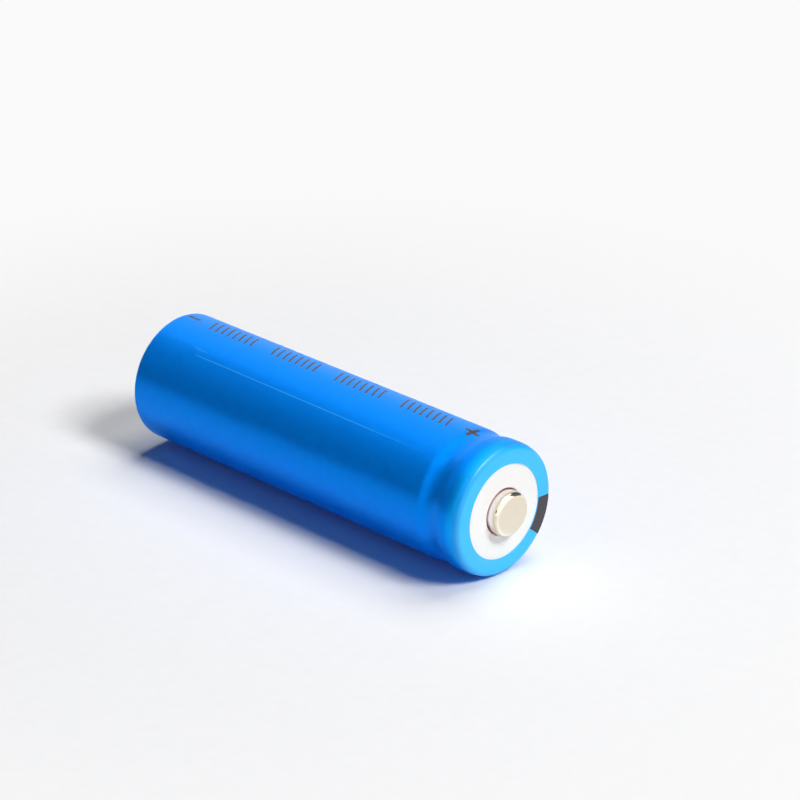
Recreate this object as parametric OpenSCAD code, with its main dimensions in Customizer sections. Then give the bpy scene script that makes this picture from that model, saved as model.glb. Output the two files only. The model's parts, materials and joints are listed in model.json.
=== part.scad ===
// Cylindrical rechargeable lithium-ion cell of the 14500 size, with a button top and a shrunk sleeve.
// Millimetres. The cell lies along X with its positive end towards +X, and +Z is up.
// The origin is the centre of the negative contact face.

/* [Cell] */
// Diameter over the sleeve
cell_d = 14.2; // [13.4:0.1:16]
// Length from the negative contact face to the top of the button
cell_l = 49.2; // [42:0.1:66]
// Clearance between pieces that are laid or pressed together
fit_gap = 0.02; // [0.01:0.005:0.03]

/* [Sleeve] */
// Thickness of the shrunk film
film_t = 0.1; // [0.06:0.01:0.14]
// Width of the film folded over the positive end
fold_top_w = 2; // [1.4:0.1:2.4]
// Width of the film folded over the negative end
fold_base_w = 2.2; // [1.4:0.1:2.6]
// Rounding of the sleeve's edge at the positive end
head_edge_r = 0.55; // [0.45:0.05:0.7]
// Rounding where the head above the bead starts to draw in
head_crown_r = 2.6; // [2:0.1:3]
// Angle to which the head draws in before its edge, in degrees
head_taper = 20; // [12:1:24]
// Rounding of the sleeve's edge at the negative end
base_edge_r = 0.4; // [0.3:0.05:0.6]
// Depth to which the film dips into the can's bead
film_dip = 0.25; // [0.15:0.05:0.4]
// Rounding with which the film leaves the can's side at the bead
film_bend_r = 2.5; // [1.5:0.1:3]

/* [Insulating washer] */
// Thickness of the paper washer
washer_t = 0.25; // [0.15:0.05:0.4]
// Distance of the washer's edge inside the side of the can
washer_inset = 0.6; // [0.5:0.05:1]
// Gap between the button and the washer's hole
washer_gap = 0.15; // [0.05:0.05:0.4]

/* [Button] */
// Diameter of the button
button_d = 4.8; // [4:0.1:5.4]
// Height of the button above the washer
button_rise = 1.3; // [0.9:0.1:2]
// Thickness of the button's sheet
button_t = 0.25; // [0.15:0.05:0.3]
// Rounding of the button's top edge
button_edge_r = 0.55; // [0.35:0.05:0.8]
// Width of the flange that is welded to the cap
button_flange_w = 0.9; // [0.5:0.1:1]

/* [Can] */
// Thickness of the drawn can
can_t = 0.22; // [0.16:0.01:0.26]
// Rounding of the can's outer corner at the base
can_corner_r = 0.4; // [0.3:0.05:0.6]
// Width of the bead groove between its two sides
bead_w = 1.8; // [1.2:0.1:2]
// Depth of the bead groove
bead_depth = 1.2; // [1.05:0.05:1.4]
// Rounding of the two shoulders of the bead
bead_shoulder_r = 0.65; // [0.4:0.05:0.7]
// Rounding at the bottom of the bead
bead_floor_r = 0.35; // [0.2:0.05:0.35]
// Width of the rim that is crimped over the gasket
crimp_w = 1.75; // [1.4:0.05:1.9]
// Rounding of the crimped edge
crimp_r = 0.8; // [0.75:0.05:0.95]

/* [Header] */
// Thickness of the sealing gasket
gasket_t = 0.4; // [0.3:0.05:0.45]
// Width of the gasket's lower leg
gasket_leg_w = 1.35; // [1.2:0.05:1.5]
// How far the gasket stands inside the crimped rim
gasket_show = 0.25; // [0.1:0.05:0.4]
// Thickness of the cap's sheet
cap_t = 0.45; // [0.3:0.05:0.5]
// Run of the cap's slope between its flange and its plateau
cap_slope = 0.6; // [0.4:0.05:0.8]
// Diameter of the gas windows in the cap's slope
window_d = 0.5; // [0.3:0.05:0.6]
// Number of gas windows
window_n = 4; // [3:1:6]
// Thickness of the resettable fuse ring
ptc_t = 0.4; // [0.25:0.05:0.5]
// Width of the resettable fuse ring
ptc_w = 1.7; // [1.3:0.1:1.9]
// Thickness of the safety disc
vent_t = 0.3; // [0.2:0.05:0.35]
// Width of the safety disc's edge folded over the cap
vent_fold_w = 1.1; // [0.8:0.05:1.2]
// Drop of the safety disc's web below its rim
web_drop = 0.5; // [0.35:0.05:0.6]
// Radius of the tear line round the safety disc's centre
score_r = 2.7; // [2.2:0.1:3]
// Depth of the dimple in the safety disc's centre
dimple_drop = 0.35; // [0.25:0.05:0.4]
// Thickness of the interrupter plate
plate_t = 0.35; // [0.25:0.05:0.4]
// Diameter of the gas holes in the interrupter plate
plate_hole_d = 0.8; // [0.5:0.1:1]
// Number of gas holes in the interrupter plate
plate_hole_n = 6; // [4:1:8]
// Wall of the ring that carries the interrupter plate
carrier_t = 0.3; // [0.2:0.05:0.35]

/* [Wound roll] */
// Radius of the open core of the roll
core_r = 1.75; // [1.4:0.05:2.5]
// Thickness of the positive electrode
cathode_t = 0.15; // [0.14:0.01:0.2]
// Thickness of the negative electrode
anode_t = 0.16; // [0.14:0.01:0.2]
// Thickness of each separator film
separator_t = 0.025; // [0.015:0.005:0.04]
// Air between two layers of the roll
layer_gap = 0.01; // [0.005:0.005:0.02]
// How far each separator stands past the negative electrode at either end
separator_over = 0.7; // [0.4:0.1:1.5]
// How far the negative electrode stands past the positive one at either end
anode_over = 0.5; // [0.3:0.1:1.2]
// Air between the taped roll and the can
roll_clear = 0.08; // [0.05:0.01:0.2]

/* [Tabs, tapes and insulators] */
// Width of the collector tabs
tab_w = 3; // [2:0.25:3.5]
// Thickness of the collector tabs
tab_t = 0.1; // [0.06:0.01:0.11]
// Thickness of the adhesive tapes
tape_t = 0.06; // [0.03:0.01:0.08]
// Height of the tape round the closed roll
band_h = 20; // [8:1:32]
// Thickness of the insulating disc above the roll
top_disc_t = 0.3; // [0.2:0.05:0.4]
// Thickness of the insulating disc below the roll
base_disc_t = 0.2; // [0.1:0.05:0.3]

/* [Hidden] */
$fn = 96;
bend_steps = 6;
roll_steps = 24;

// Radii from the sleeve inwards
sleeve_r = cell_d / 2;
can_r = sleeve_r - film_t - fit_gap;
can_in_r = can_r - can_t;
gasket_r = can_in_r - fit_gap;
vent_r = gasket_r - gasket_t - fit_gap;
vent_bend_in = 0.1;
vent_bend = vent_t + vent_bend_in;
stack_r = vent_r - vent_t - vent_bend_in;
crimp_in_r = can_r - crimp_w;
gasket_top_r = crimp_in_r - gasket_show;
gasket_leg_r = gasket_r - gasket_leg_w;
part_clear = 0.1;
cap_foot_r = gasket_top_r - 3 * part_clear;
cap_top_r = cap_foot_r - cap_slope;
carrier_r = gasket_leg_r - part_clear;
carrier_flange_w = 0.45;
carrier_in_r = carrier_r - carrier_flange_w - carrier_t;
carrier_lip_w = 0.45;
plate_r = carrier_in_r - fit_gap;
web_run = 0.8;
web_foot_r = carrier_in_r - 2 * part_clear;
web_r = web_foot_r - web_run;
score_gap = 0.05;
dimple_r = 0.9;
dimple_run = 0.7;
button_r = button_d / 2;
fold_top_r = sleeve_r - fold_top_w;
fold_base_r = sleeve_r - fold_base_w;

// The head draws in by its taper and then rounds over to the flat lip, which holds the washer
head_turn_in = head_crown_r * tan(head_taper / 2);
edge_turn_in = head_edge_r * tan(45 - head_taper / 2);
head_run = head_turn_in + edge_turn_in;
head_r = sleeve_r - head_run * sin(head_taper);
lip_r = head_r - edge_turn_in;
washer_r = min(can_r - washer_inset, lip_r - fit_gap);

// The base steps out inside the fold, so that the contact face is level with the film
base_step = film_t + fit_gap;
step_run = 0.35;
step_r = fold_base_r - 1.5 * part_clear;
contact_r = step_r - step_run;
step_bend = can_t + part_clear;

// Heights above the negative contact face, from the button down to the bead
z_washer_top = cell_l - button_rise;
z_lip = z_washer_top + film_t;
z_head = z_lip - head_run * cos(head_taper);
z_crimp = z_washer_top - washer_t;
z_flange = z_crimp - fit_gap;
z_plateau = z_flange - button_t - fit_gap;
z_gasket_top = z_crimp - can_t - fit_gap;
z_vent_fold = z_gasket_top - gasket_t - fit_gap;
z_cap = z_vent_fold - vent_t - fit_gap;
z_ptc = z_cap - cap_t - fit_gap - ptc_t;
z_vent = z_ptc - fit_gap - vent_t;
z_gasket = z_vent - fit_gap - gasket_t;
z_bead = z_gasket - fit_gap - can_t - bead_w / 2;

// Heights of the interrupter under the safety disc
z_web = z_vent - web_drop;
z_dimple = z_web - dimple_drop;
z_plate = z_dimple - fit_gap - plate_t;
z_carrier = z_plate - fit_gap - carrier_t;

// Heights of the roll, its discs and its tabs
z_top_disc = z_bead - bead_w / 2 - can_t - fit_gap - top_disc_t;
z_tab_low = z_top_disc + top_disc_t + tape_t + 2 * fit_gap;
z_tab_high = z_plate - fit_gap - tab_t;
z_foot_mid = can_t + fit_gap;
z_foot = base_step + can_t + tape_t + 2 * fit_gap;
z_base_disc = z_foot + tab_t + tape_t + 2 * fit_gap;
z_roll_a = z_base_disc + base_disc_t + fit_gap;
z_roll_b = z_top_disc - fit_gap;
z_anode_a = z_roll_a + separator_over;
z_anode_b = z_roll_b - separator_over;
z_cathode_a = z_anode_a + anode_over;
z_cathode_b = z_anode_b - anode_over;

// Layers of one turn of the roll, from the inside out
anode_off = separator_t + layer_gap;
separator_off = anode_off + anode_t + layer_gap;
cathode_off = separator_off + separator_t + layer_gap;
pitch = cathode_off + cathode_t + layer_gap;
roll_r = can_in_r - roll_clear - tape_t - fit_gap;

// Steps along the roll at which each layer starts and ends
roll_last = floor((roll_r - core_r - separator_off - separator_t) / pitch * roll_steps);
anode_first = roll_steps;
anode_last = roll_last - roll_steps / 4;
cathode_first = anode_first + roll_steps / 2;
cathode_last = anode_last - roll_steps;

// Bare foil on each electrode, one step wider than the tab that is welded to it
cathode_tab_n = facets_across(round((cathode_first + cathode_last) / 2));
cathode_tab_a = round((cathode_first + cathode_last - cathode_tab_n) / 2);
cathode_tab_b = cathode_tab_a + cathode_tab_n;
anode_tab_n = facets_across(anode_last);
anode_tab_b = anode_last - 2;
anode_tab_a = anode_tab_b - anode_tab_n;
cathode_tab_r = turn_r((cathode_tab_a + cathode_tab_b) / 2) + cathode_off;
anode_tab_r = turn_r((anode_tab_a + anode_tab_b) / 2) + anode_off;
tab_neck = 1.2;
tab_lap = 0.2;
tab_clear = 0.6;
weld_reach = 1.6;

function flat(c) = [c[0], c[1]];
function unit(v) = v / norm(v);
function left(v) = [-v[1], v[0]];
function spin(v, a) = [v[0] * cos(a) - v[1] * sin(a), v[0] * sin(a) + v[1] * cos(a)];
function turn(u, v) = atan2(u[0] * v[1] - u[1] * v[0], u * v);

// Points with their left-hand normals round corner i of a path of [x, y, bend radius] corners
function bend(path, i) =
    let (
        u = unit(flat(path[i]) - flat(path[i - 1])),
        v = unit(flat(path[i + 1]) - flat(path[i])),
        a = turn(u, v),
        r = path[i][2],
        hub = flat(path[i]) - u * r * tan(abs(a) / 2) + left(u) * sign(a) * r
    )
    [for (k = [0 : bend_steps])
        let (n = left(spin(u, a * k / bend_steps)))
        [hub - n * sign(a) * r, n]];

function stations(path) =
    let (last = len(path) - 1)
    concat(
        [[flat(path[0]), left(unit(flat(path[1]) - flat(path[0])))]],
        [for (i = [1 : last - 1]) each bend(path, i)],
        [[flat(path[last]), left(unit(flat(path[last]) - flat(path[last - 1])))]]
    );

// Outline of a bent sheet: one face follows the path, and the thickness t lies to its left
function sheet(path, t) =
    let (s = stations(path))
    concat([for (q = s) q[0]], [for (i = [len(s) - 1 : -1 : 0]) s[i][0] + s[i][1] * t]);

// Radius of the wound roll and a point on it, at a step and an offset within the turn
function turn_r(step) = core_r + pitch * step / roll_steps;
function step_angle(step) = 360 * step / roll_steps;
function on_turn(step, off) = (turn_r(step) + off) * [cos(step_angle(step)), sin(step_angle(step))];
function facets_across(step) = max(1, round(tab_w / (2 * turn_r(step) * sin(180 / roll_steps))));

// First step, last step and depth of the bare place that takes a tab between steps a and b
function bare_place(a, b) = [a - 1, b + 1, tab_t + 2 * layer_gap];

// The cell is drawn upright on its negative end and laid along X
module laid() {
    rotate([0, 90, 0]) children();
}

// A pressed or drawn sheet that is round about the cell's axis
module pressed(path, t) {
    laid() rotate_extrude() polygon(sheet(path, t));
}

// A flat ring that stands on height z
module ring(z, h, r_out, r_in) {
    laid() translate([0, 0, z]) difference() {
        cylinder(r = r_out, h = h);
        translate([0, 0, -h]) cylinder(r = r_in, h = 3 * h);
    }
}

// A layer wound from step a to step b; its inner side is cut back by the depth bare[2] between two steps
module wound(a, b, off, t, z_a, z_b, bare = [-2, -1, 0]) {
    outer = [for (i = [a : b]) on_turn(i, off + t)];
    inner = [for (i = [b : -1 : a]) each
        i == bare[1] ? [on_turn(i, off), on_turn(i, off + bare[2])] :
        i == bare[0] ? [on_turn(i, off + bare[2]), on_turn(i, off)] :
        [on_turn(i, off + (i > bare[0] && i < bare[1] ? bare[2] : 0))]];
    laid() translate([0, 0, z_a]) linear_extrude(z_b - z_a) polygon(concat(outer, inner));
}

// Turns the tab's run from the roll to the axis onto local X
module tab_frame(a, b) {
    laid() rotate([0, 0, step_angle((a + b) / 2)]) children();
}

// The end of a tab where it leaves the curve of the roll and becomes flat
module tab_neck(a, b, off, r, z) {
    mid = step_angle((a + b) / 2);
    curve = [for (i = [a : b]) spin(on_turn(i, off + layer_gap + tab_t), -mid)];
    tab_frame(a, b) translate([0, 0, z]) linear_extrude(tab_t)
        polygon(concat(curve, [[r - tab_neck, tab_w / 2], [r - tab_neck, -tab_w / 2]]));
}

// The flat part of a tab, bent along a path in its own plane
module tab_run(a, b, path) {
    tab_frame(a, b) rotate([90, 0, 0]) linear_extrude(tab_w, center = true) polygon(sheet(path, tab_t));
}

// A tape folded round the flat of a tab between x_a and x_b
module tab_wrap(a, b, x_a, x_b, z) {
    gap = [0, fit_gap, fit_gap];
    skin = [0, fit_gap + tape_t, fit_gap + tape_t];
    core = [x_b - x_a, tab_w, tab_t];
    tab_frame(a, b) translate([x_a, -tab_w / 2, z]) difference() {
        translate(-skin) cube(core + 2 * skin);
        translate(-gap - [core[0], 0, 0]) cube(core + 2 * gap + [2 * core[0], 0, 0]);
    }
}

// Drawn steel can: stepped base, straight side, bead that carries the header, and crimped rim
module can() {
    color("silver") pressed([
        [0, 0],
        [contact_r, 0, step_bend],
        [step_r, base_step, step_bend],
        [can_r, base_step, can_corner_r],
        [can_r, z_bead - bead_w / 2, bead_shoulder_r],
        [can_r - bead_depth, z_bead - bead_w / 2, bead_floor_r],
        [can_r - bead_depth, z_bead + bead_w / 2, bead_floor_r],
        [can_r, z_bead + bead_w / 2, bead_shoulder_r],
        [can_r, z_crimp, crimp_r],
        [crimp_in_r, z_crimp]
    ], can_t);
}

// Moulded gasket that wraps the edge of the header inside the crimp
module crimp_gasket() {
    low_r = max(gasket_t, bead_shoulder_r - can_t) + part_clear;
    top_r = max(gasket_t, crimp_r - can_t) + part_clear / 2;
    color("whitesmoke") pressed([
        [gasket_leg_r, z_gasket],
        [gasket_r, z_gasket, low_r],
        [gasket_r, z_gasket_top, top_r],
        [gasket_top_r, z_gasket_top]
    ], gasket_t);
}

// Outer part of the safety disc, with its edge folded over the fuse ring and the cap
module vent_rim() {
    color("lightgray") pressed([
        [score_r, z_web],
        [web_r, z_web, vent_t + part_clear],
        [web_foot_r, z_vent, vent_t],
        [vent_r, z_vent, vent_bend],
        [vent_r, z_vent_fold, vent_bend],
        [vent_r - vent_fold_w, z_vent_fold]
    ], vent_t);
}

// Centre of the safety disc inside the tear line, which gas pressure lifts off the plate below it
module vent_dome() {
    color("gainsboro") pressed([
        [0, z_dimple],
        [dimple_r, z_dimple, vent_t + part_clear],
        [dimple_r + dimple_run, z_web, vent_t],
        [score_r - score_gap, z_web]
    ], vent_t);
}

// Moulded ring that hangs the interrupter plate under the safety disc and insulates it
module carrier_ring() {
    top = z_vent - fit_gap;
    inner = carrier_in_r + carrier_t;
    color("seashell") laid() rotate_extrude() polygon([
        [carrier_in_r - carrier_lip_w, z_carrier],
        [inner, z_carrier],
        [inner, top - carrier_t],
        [carrier_r, top - carrier_t],
        [carrier_r, top],
        [carrier_in_r, top],
        [carrier_in_r, z_carrier + carrier_t],
        [carrier_in_r - carrier_lip_w, z_carrier + carrier_t]
    ]);
}

// Plate that carries the current to the safety disc, with a tear ring round its centre
module interrupter_plate() {
    hole_pcr = (plate_r + dimple_r + dimple_run) / 2;
    tear_r = dimple_r + 2 * part_clear;
    tear_depth = plate_t / 3;
    color("silver") laid() translate([0, 0, z_plate]) difference() {
        cylinder(r = plate_r, h = plate_t);
        for (i = [0 : plate_hole_n - 1])
            rotate([0, 0, 360 * i / plate_hole_n]) translate([hole_pcr, 0, -plate_t])
                cylinder(d = plate_hole_d, h = 3 * plate_t);
        translate([0, 0, plate_t - tear_depth]) difference() {
            cylinder(r = tear_r + part_clear, h = plate_t);
            cylinder(r = tear_r, h = plate_t);
        }
    }
}

// Resettable polymer fuse between the safety disc and the cap
module ptc_ring() {
    color("dimgray") ring(z_ptc, ptc_t, stack_r, stack_r - ptc_w);
}

// Pressed steel cap with a raised plateau and gas windows in its slope
module top_cap() {
    slope_mid = [(cap_foot_r + cap_top_r) / 2, (z_cap + z_plateau) / 2 - cap_t / 2];
    color("silver") difference() {
        pressed([
            [stack_r, z_cap],
            [cap_foot_r, z_cap, part_clear],
            [cap_top_r, z_plateau, cap_t + part_clear],
            [0, z_plateau]
        ], cap_t);
        laid() for (i = [0 : window_n - 1])
            rotate([0, 0, 360 * (i + 0.5) / window_n]) translate([slope_mid[0], 0, slope_mid[1]])
                rotate([0, 45, 0]) cylinder(d = window_d, h = 4 * cap_t, center = true);
    }
}

// Hat-shaped contact button, welded to the cap by its flange
module positive_button() {
    color("linen") pressed([
        [button_r + button_flange_w, z_flange],
        [button_r, z_flange, part_clear],
        [button_r, cell_l, max(button_edge_r, button_t + fit_gap)],
        [0, cell_l]
    ], button_t);
}

// Paper washer that keeps the can's rim apart from the button
module insulating_washer() {
    color("white") ring(z_crimp, washer_t, washer_r, button_r + washer_gap);
}

// Shrunk film: it leaves the can's side a little before the bead, so that it bends gently and still stays half
// a clearance off the bead's shoulders; it spans the groove and folds over the head and the base
module shrink_sleeve() {
    spare = film_bend_r - film_t - bead_shoulder_r;
    lead = sqrt(pow(spare - fit_gap / 2, 2) - pow(spare - fit_gap, 2));
    half = bead_w / 2 + bead_shoulder_r + lead;
    slope = 2 * atan(film_dip / half);
    span_r = half / sin(slope) - film_bend_r;
    shoulder_z = half - film_bend_r * tan(slope / 2);
    valley_r = sleeve_r - film_dip - span_r * (1 / cos(slope) - 1);
    color("dodgerblue") pressed([
        [fold_base_r, 0],
        [sleeve_r, 0, base_edge_r],
        [sleeve_r, z_bead - shoulder_z, film_bend_r],
        [valley_r, z_bead, span_r],
        [sleeve_r, z_bead + shoulder_z, film_bend_r],
        [sleeve_r, z_head, head_crown_r],
        [head_r, z_lip, head_edge_r],
        [fold_top_r, z_lip]
    ], film_t);
}

// Insulating disc above the roll, with a core hole and a slot for the positive tab
module top_disc() {
    disc_r = can_in_r - (bead_shoulder_r - can_t);
    slot_w = tab_w + 2 * tab_clear;
    color("honeydew") difference() {
        ring(z_top_disc, top_disc_t, disc_r, core_r);
        tab_frame(cathode_tab_a, cathode_tab_b)
            translate([cathode_tab_r - tab_clear, -slot_w / 2, z_top_disc - top_disc_t])
                cube([2 * tab_clear, slot_w, 3 * top_disc_t]);
    }
}

// Insulating disc below the roll, with a weld hole and an edge notch for the negative tab
module base_disc() {
    notch_w = tab_w + 2 * tab_clear;
    color("honeydew") difference() {
        ring(z_base_disc, base_disc_t, can_in_r - part_clear, core_r);
        tab_frame(anode_tab_a, anode_tab_b)
            translate([anode_tab_r - tab_clear, -notch_w / 2, z_base_disc - base_disc_t])
                cube([can_r, notch_w, 3 * base_disc_t]);
    }
}

// Aluminium foil coated on both sides, bare where its tab is welded
module cathode_sheet() {
    color("dimgray") wound(cathode_first, cathode_last, cathode_off, cathode_t, z_cathode_a, z_cathode_b,
        bare_place(cathode_tab_a, cathode_tab_b));
}

// Copper foil coated on both sides, bare where its tab is welded
module anode_sheet() {
    color("darkslategray") wound(anode_first, anode_last, anode_off, anode_t, z_anode_a, z_anode_b,
        bare_place(anode_tab_a, anode_tab_b));
}

// Separator on the inner side of the negative electrode
module inner_separator() {
    color("ivory") wound(0, roll_last, 0, separator_t, z_roll_a, z_roll_b);
}

// Separator between the two electrodes
module outer_separator() {
    color("ivory") wound(0, roll_last, separator_off, separator_t, z_roll_a, z_roll_b);
}

// Aluminium strip from the positive electrode, folded once and welded under the interrupter plate
module cathode_tab() {
    inner_fold = z_tab_high - z_tab_low - tab_t;
    fold_x = -cathode_tab_r / 2;
    color("gainsboro") {
        wound(cathode_tab_a, cathode_tab_b, cathode_off + layer_gap, tab_t,
            z_cathode_a + tab_w, z_tab_low + tab_t);
        tab_neck(cathode_tab_a, cathode_tab_b, cathode_off, cathode_tab_r, z_tab_low);
        tab_run(cathode_tab_a, cathode_tab_b, [
            [cathode_tab_r - tab_neck + tab_lap, z_tab_low + tab_t],
            [fold_x, z_tab_low + tab_t, inner_fold / 2 - fit_gap],
            [fold_x, z_tab_high, inner_fold / 2 - fit_gap],
            [weld_reach, z_tab_high]
        ]);
    }
}

// Nickel strip from the negative electrode, led under the disc and welded to the base
module anode_tab() {
    joggle_a = contact_r - step_run;
    joggle_b = joggle_a - 2 * step_run;
    color("lightgray") {
        wound(anode_tab_a, anode_tab_b, anode_off + layer_gap, tab_t, z_foot, z_anode_b - tab_w);
        tab_neck(anode_tab_a, anode_tab_b, anode_off, anode_tab_r, z_foot);
        tab_run(anode_tab_a, anode_tab_b, [
            [anode_tab_r - tab_neck + tab_lap, z_foot + tab_t],
            [joggle_a, z_foot + tab_t, 3 * tab_t],
            [joggle_b, z_foot_mid + tab_t, 3 * tab_t],
            [-weld_reach, z_foot_mid + tab_t]
        ]);
    }
}

// Tape round the positive tab above the insulating disc
module cathode_tab_tape() {
    color("goldenrod") tab_wrap(cathode_tab_a, cathode_tab_b, 0, cathode_tab_r - 2 * tab_neck, z_tab_low);
}

// Tape round the negative tab under the insulating disc
module anode_tab_tape() {
    color("goldenrod") tab_wrap(anode_tab_a, anode_tab_b, contact_r, anode_tab_r - tab_neck, z_foot);
}

// Tape that closes the outer turn of the roll
module roll_tape() {
    z = (z_roll_a + z_roll_b - band_h) / 2;
    r_in = roll_r + fit_gap;
    color("palegreen") ring(z, band_h, r_in + tape_t, r_in);
}

can();
crimp_gasket();
vent_rim();
vent_dome();
carrier_ring();
interrupter_plate();
ptc_ring();
top_cap();
positive_button();
insulating_washer();
shrink_sleeve();
top_disc();
base_disc();
cathode_sheet();
anode_sheet();
inner_separator();
outer_separator();
cathode_tab();
anode_tab();
cathode_tab_tape();
anode_tab_tape();
roll_tape();
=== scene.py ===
"""Looks of a cylindrical lithium-ion cell: shrunk film with its print, paper washer, contact button and can.

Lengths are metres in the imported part's frame: X runs along the cell from the negative face to the button.
Angles round that axis start at +Y and turn towards +Z, so the top of the lying cell is a quarter turn.
"""

import json
import logging
import math
from collections.abc import Callable, Iterable, Sequence
from dataclasses import dataclass, fields
from enum import Enum
from functools import cache

import bpy
from mathutils import Matrix, Vector, noise


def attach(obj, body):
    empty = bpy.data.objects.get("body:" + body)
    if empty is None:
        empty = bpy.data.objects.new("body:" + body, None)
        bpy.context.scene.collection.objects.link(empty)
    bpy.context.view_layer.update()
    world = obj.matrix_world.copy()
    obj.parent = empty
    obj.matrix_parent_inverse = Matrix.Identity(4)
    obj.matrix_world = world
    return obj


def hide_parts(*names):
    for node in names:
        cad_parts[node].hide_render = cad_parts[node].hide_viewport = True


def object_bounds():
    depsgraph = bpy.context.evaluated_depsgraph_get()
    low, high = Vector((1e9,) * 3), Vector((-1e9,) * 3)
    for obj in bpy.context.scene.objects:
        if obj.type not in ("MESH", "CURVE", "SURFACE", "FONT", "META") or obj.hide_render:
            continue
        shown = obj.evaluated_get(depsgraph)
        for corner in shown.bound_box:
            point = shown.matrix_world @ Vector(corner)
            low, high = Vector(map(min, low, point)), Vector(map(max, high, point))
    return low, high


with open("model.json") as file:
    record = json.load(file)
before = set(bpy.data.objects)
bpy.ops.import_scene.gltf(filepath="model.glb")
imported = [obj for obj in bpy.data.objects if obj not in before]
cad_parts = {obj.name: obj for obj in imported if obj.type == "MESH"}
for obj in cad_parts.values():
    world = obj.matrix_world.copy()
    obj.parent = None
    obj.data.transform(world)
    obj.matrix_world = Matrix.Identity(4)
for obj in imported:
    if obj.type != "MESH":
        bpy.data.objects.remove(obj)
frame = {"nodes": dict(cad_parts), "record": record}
cad_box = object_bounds()

log = logging.getLogger("cell")
MM = 0.001
# Lengths that differ by less than NEAR count as equal, and points closer than SAME are one point
NEAR, SAME = 0.001 * MM, 0.000001 * MM
BODY = "cell"
WHITE = "#ffffff"

Point = tuple[float, float]
Place = tuple[float, float, float]
Colour = tuple[float, float, float, float]
Tree = bpy.types.NodeTree
Node = bpy.types.Node
Socket = bpy.types.NodeSocket
Piece = bpy.types.Object
Inputs = Sequence[object] | dict[int | str, object]

# Kinds of node that several trees hold
MATH, VECTOR = "ShaderNodeMath", "ShaderNodeVectorMath"
COMBINE, SPLIT = "ShaderNodeCombineXYZ", "ShaderNodeSeparateXYZ"
RANGE, MIX, ATTRIBUTE = "ShaderNodeMapRange", "ShaderNodeMix", "ShaderNodeAttribute"
# Places of the colour inputs and output of a Mix node
MIX_A, MIX_B, MIX_RESULT = 6, 7, 2
# Places of the limits among the inputs of a Map Range node
FROM_LOW, FROM_HIGH, TO_LOW, TO_HIGH = 1, 2, 3, 4
# Places of the number inputs and output of a Random Value node
RANDOM_LOW, RANDOM_HIGH, RANDOM_RESULT = 2, 3, 1


class Slot(Enum):
    """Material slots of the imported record."""

    FILM = "blue_film"
    PAPER = "washer_paper"
    BUTTON = "button_nickel"
    STEEL = "nickel_plated_steel"
    ALUMINIUM = "aluminium_sheet"
    GASKET = "natural_polypropylene"
    FUSE = "fuse_polymer"
    BOARD = "insulating_board"
    CATHODE = "cathode_coating"
    ANODE = "anode_coating"
    SEPARATOR = "separator_film"
    STRIP = "nickel_strip"
    AMBER = "amber_tape"
    GREEN = "green_tape"


class Lay(Enum):
    """How the fine marks of a finish lie, as stretches of the pattern along X, Y and Z."""

    EVEN = (1.0, 1.0, 1.0)
    ALONG = (0.04, 1.0, 1.0)
    ROUND = (1.0, 1.0, 0.02)
    FIBRES = (0.5, 1.0, 0.25)


class Mark(Enum):
    """Marks that a mesh carries for its finish, as names of its attributes."""

    OVER_PAPER = "over_paper"
    CREASED = "creased"
    AT_RIM = "at_rim"
    ON_EDGE = "on_edge"
    ON_BEND = "on_bend"
    ON_WALL = "on_wall"
    AT_FOOT = "at_foot"
    CARD_GREY = "card_grey"


def srgb(code: str) -> Colour:
    """Turns a colour's sRGB hex code to linear values.

    Args:
        code: the colour as #rrggbb.

    Returns:
        Linear red, green and blue, with full alpha.
    """
    parts = [int(code[i:i + 2], 16) / 255 for i in (1, 3, 5)]
    red, green, blue = (c / 12.92 if c <= 0.04045 else ((c + 0.055) / 1.055) ** 2.4 for c in parts)
    return red, green, blue, 1.0


def feed(tree: Tree, node: Node, inputs: Inputs) -> None:
    """Links or sets the inputs of a node.

    Args:
        tree: the tree that holds the node.
        node: the node.
        inputs: values, sockets or nodes in the order of the node's inputs, or by an input's name or number;
            a node stands for its first output.
    """
    for key, value in inputs.items() if isinstance(inputs, dict) else enumerate(inputs):
        source = value.outputs[0] if isinstance(value, Node) else value
        if isinstance(source, Socket):
            tree.links.new(source, node.inputs[key])
        else:
            node.inputs[key].default_value = source


def add(tree: Tree, kind: str, inputs: Inputs = (), **settings: object) -> Node:
    """Adds a node with its settings and links.

    Args:
        tree: the tree that takes the node.
        kind: the node's type.
        inputs: what its inputs are linked or set to.
        settings: the node's other settings by name.

    Returns:
        The new node.
    """
    node = tree.nodes.new(kind)
    for name, value in settings.items():
        setattr(node, name, value)
    feed(tree, node, inputs)
    return node


# Detail of the noise that gives a finish its marks, and the part of its range that counts
MARK_DETAIL = 3.0
MARK_RANGE = (0.25, 0.75)


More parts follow.
